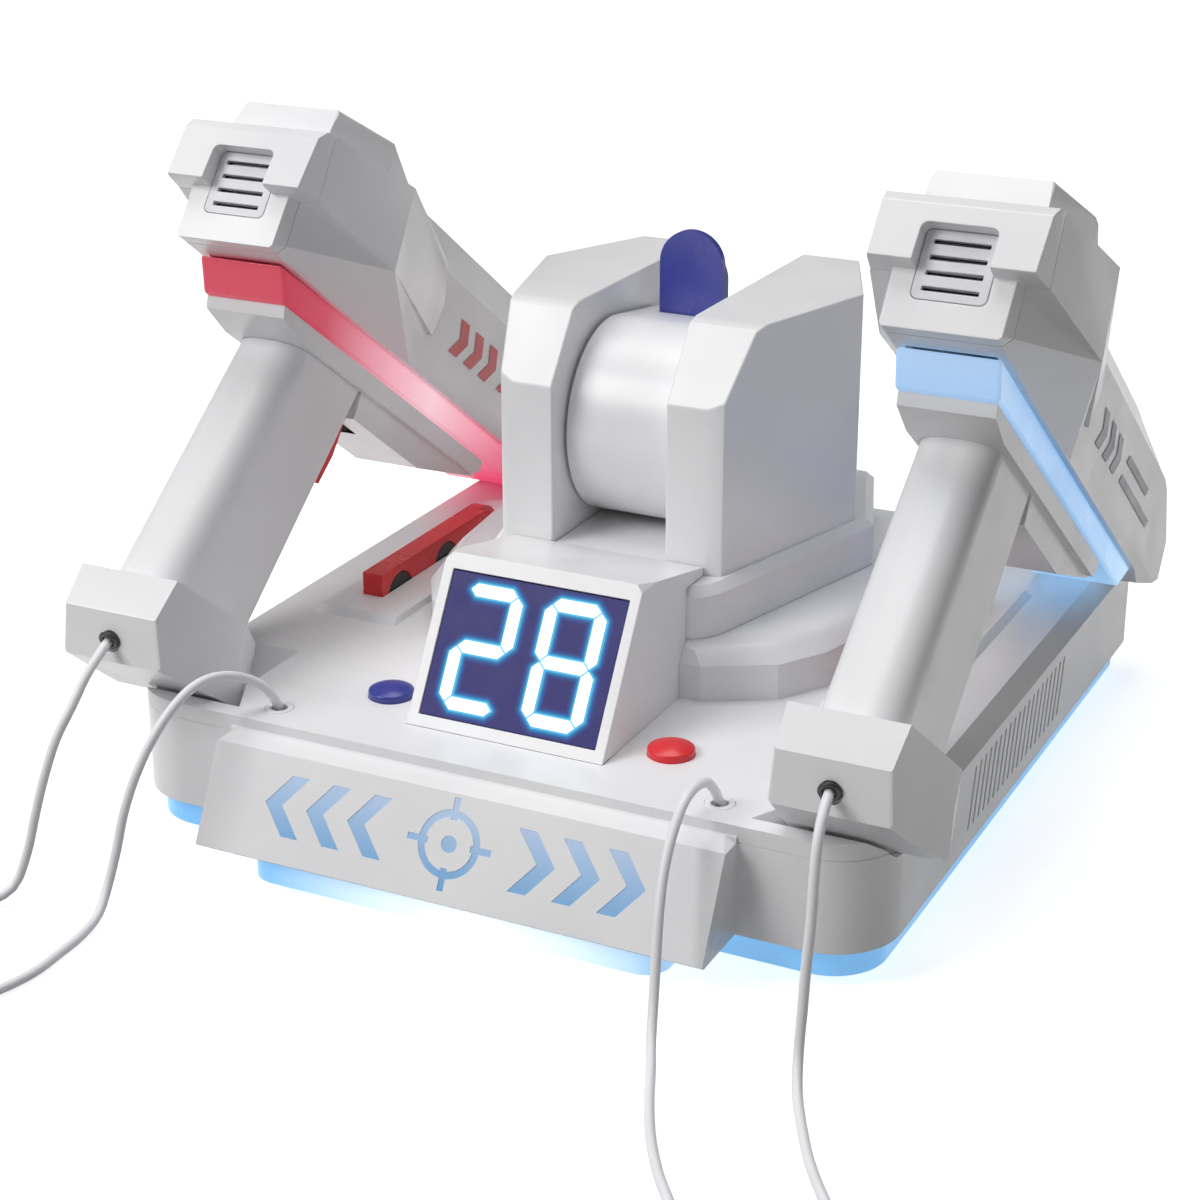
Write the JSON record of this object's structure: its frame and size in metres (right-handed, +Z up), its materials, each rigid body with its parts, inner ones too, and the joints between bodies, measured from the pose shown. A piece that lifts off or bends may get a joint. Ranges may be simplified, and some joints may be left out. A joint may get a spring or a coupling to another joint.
{
  "type": "tabletop target projector with light guns",
  "caption": "Tabletop target projector with tilting drum, picture slides, number display, dome buttons and tethered light guns docked on its base.",
  "frame": {"origin": "middle of the footprint of the base and guns, on the standing surface", "axes": "+X right as the player sees it, +Y away from the player, +Z up"},
  "size_m": [0.3996, 0.5234, 0.2541],
  "materials": {
    "white_shell": "satin gloss moulding",
    "grey_plastic": "matte moulding",
    "foot_rubber": "soft matte",
    "blue_glow": "translucent, lit from inside",
    "red_glow": "translucent, lit from inside",
    "pale_blue_inlay": "translucent, lit from inside",
    "screw_steel": "plain",
    "dark_window": "polished",
    "digit_light": "lit from inside",
    "dark_plastic": "matte",
    "black_rubber": "ribbed",
    "lens_glass": "clear",
    "board": "solder mask",
    "blue_plastic": "satin",
    "red_plastic": "satin",
    "black_film": "film disc",
    "spring_steel": "plain",
    "battery_case": "gloss wrap",
    "grille_plastic": "satin",
    "cord_sleeve": "smooth pale sleeve"
  },
  "bodies": {
    "base": {"bottom_plate": "grey_plastic", "feet": "foot_rubber", "underglow_ring": "blue_glow", "base_shell": "white_shell", "deck_cover": "white_shell", "nose_fascia": "white_shell", "fascia_inlay": "pale_blue_inlay", "cord_grommets": "white_shell", "case_screws": "screw_steel", "display_housing": "white_shell", "display_window": "dark_window", "display_digits": "digit_light", "pedestal": "white_shell", "left_cheek": "white_shell", "right_cheek": "white_shell", "button_springs": "spring_steel", "switch_board": "board", "main_board": "board", "battery_door": "grey_plastic", "batteries": "battery_case", "left_cord_tube": "cord_sleeve", "left_cord_coil": "cord_sleeve", "right_cord_tube": "cord_sleeve", "right_cord_coil": "cord_sleeve"},
    "left_gun": {"left_gun_shell": "white_shell", "left_gun_cap": "white_shell", "left_gun_grille": "grille_plastic", "left_gun_strip": "red_glow", "left_gun_frame": "white_shell", "left_gun_grip": "white_shell", "left_gun_butt": "white_shell", "left_gun_board": "board", "left_gun_lens": "lens_glass"},
    "right_gun": {"right_gun_shell": "white_shell", "right_gun_cap": "white_shell", "right_gun_grille": "grille_plastic", "right_gun_strip": "blue_glow", "right_gun_frame": "white_shell", "right_gun_grip": "white_shell", "right_gun_butt": "white_shell", "right_gun_board": "board", "right_gun_lens": "lens_glass"},
    "left_trigger": {"left_trigger": "red_plastic", "left_trigger_spring": "spring_steel"},
    "right_trigger": {"right_trigger": "blue_plastic", "right_trigger_spring": "spring_steel"},
    "projector": {"projector_drum": "white_shell", "slide_gate": "dark_plastic", "lens_barrel": "dark_plastic", "front_lens": "lens_glass", "lamp_board": "board"},
    "focus_ring": {"focus_ring": "black_rubber"},
    "blue_slide": {"slide_blue": "blue_plastic"},
    "left_red_slide": {"slide_red_left": "red_plastic", "film_red_left": "black_film"},
    "right_red_slide": {"slide_red_right": "red_plastic", "film_red_right": "black_film"},
    "blue_button": {"blue_button": "blue_plastic"},
    "red_button": {"red_button": "red_plastic"},
    "power_switch": {"power_switch": "dark_plastic"}
  },
  "joints": [
    {"name": "left_gun_lift", "type": "slide", "parent": "base", "child": "left_gun", "axis": [0, 0, 1], "range_m": [0, 0.06]},
    {"name": "left_trigger_pull", "type": "hinge", "parent": "left_gun", "child": "left_trigger", "pos_m": [-0.1386, -0.01306, 0.13276], "axis": [1, 0, 0], "range_deg": [-9, 0], "stiffness_Nm_per_rad": 0.06, "springref_deg": 6.88},
    {"name": "right_gun_lift", "type": "slide", "parent": "base", "child": "right_gun", "axis": [0, 0, 1], "range_m": [0, 0.06]},
    {"name": "right_trigger_pull", "type": "hinge", "parent": "right_gun", "child": "right_trigger", "pos_m": [0.1386, -0.01306, 0.13276], "axis": [1, 0, 0], "range_deg": [-9, 0], "stiffness_Nm_per_rad": 0.06, "springref_deg": 6.88},
    {"name": "projector_tilt", "type": "hinge", "parent": "base", "child": "projector", "pos_m": [0, 0.00295, 0.139], "axis": [1, 0, 0], "range_deg": [-5, 20]},
    {"name": "focus_turn", "type": "hinge", "parent": "projector", "child": "focus_ring", "pos_m": [0, 0.05795, 0.15], "axis": [0, 1, 0], "range_deg": [-60, 60]},
    {"name": "blue_slide_lift", "type": "slide", "parent": "projector", "child": "blue_slide", "axis": [0, 0, 1], "range_m": [0, 0.08]},
    {"name": "left_red_slide_lift", "type": "slide", "parent": "base", "child": "left_red_slide", "axis": [0, 0, 1], "range_m": [0, 0.03]},
    {"name": "right_red_slide_lift", "type": "slide", "parent": "base", "child": "right_red_slide", "axis": [0, 0, 1], "range_m": [0, 0.03]},
    {"name": "blue_button_press", "type": "slide", "parent": "base", "child": "blue_button", "axis": [0, 0, -1], "range_m": [0, 0.0025], "stiffness_N_per_m": 400, "springref_m": -0.002, "deforming": ["button_springs"]},
    {"name": "red_button_press", "type": "slide", "parent": "base", "child": "red_button", "axis": [0, 0, -1], "range_m": [0, 0.0025], "stiffness_N_per_m": 400, "springref_m": -0.002, "deforming": ["button_springs"]},
    {"name": "power_slide", "type": "slide", "parent": "base", "child": "power_switch", "axis": [1, 0, 0], "range_m": [0, 0.006]}
  ]
}
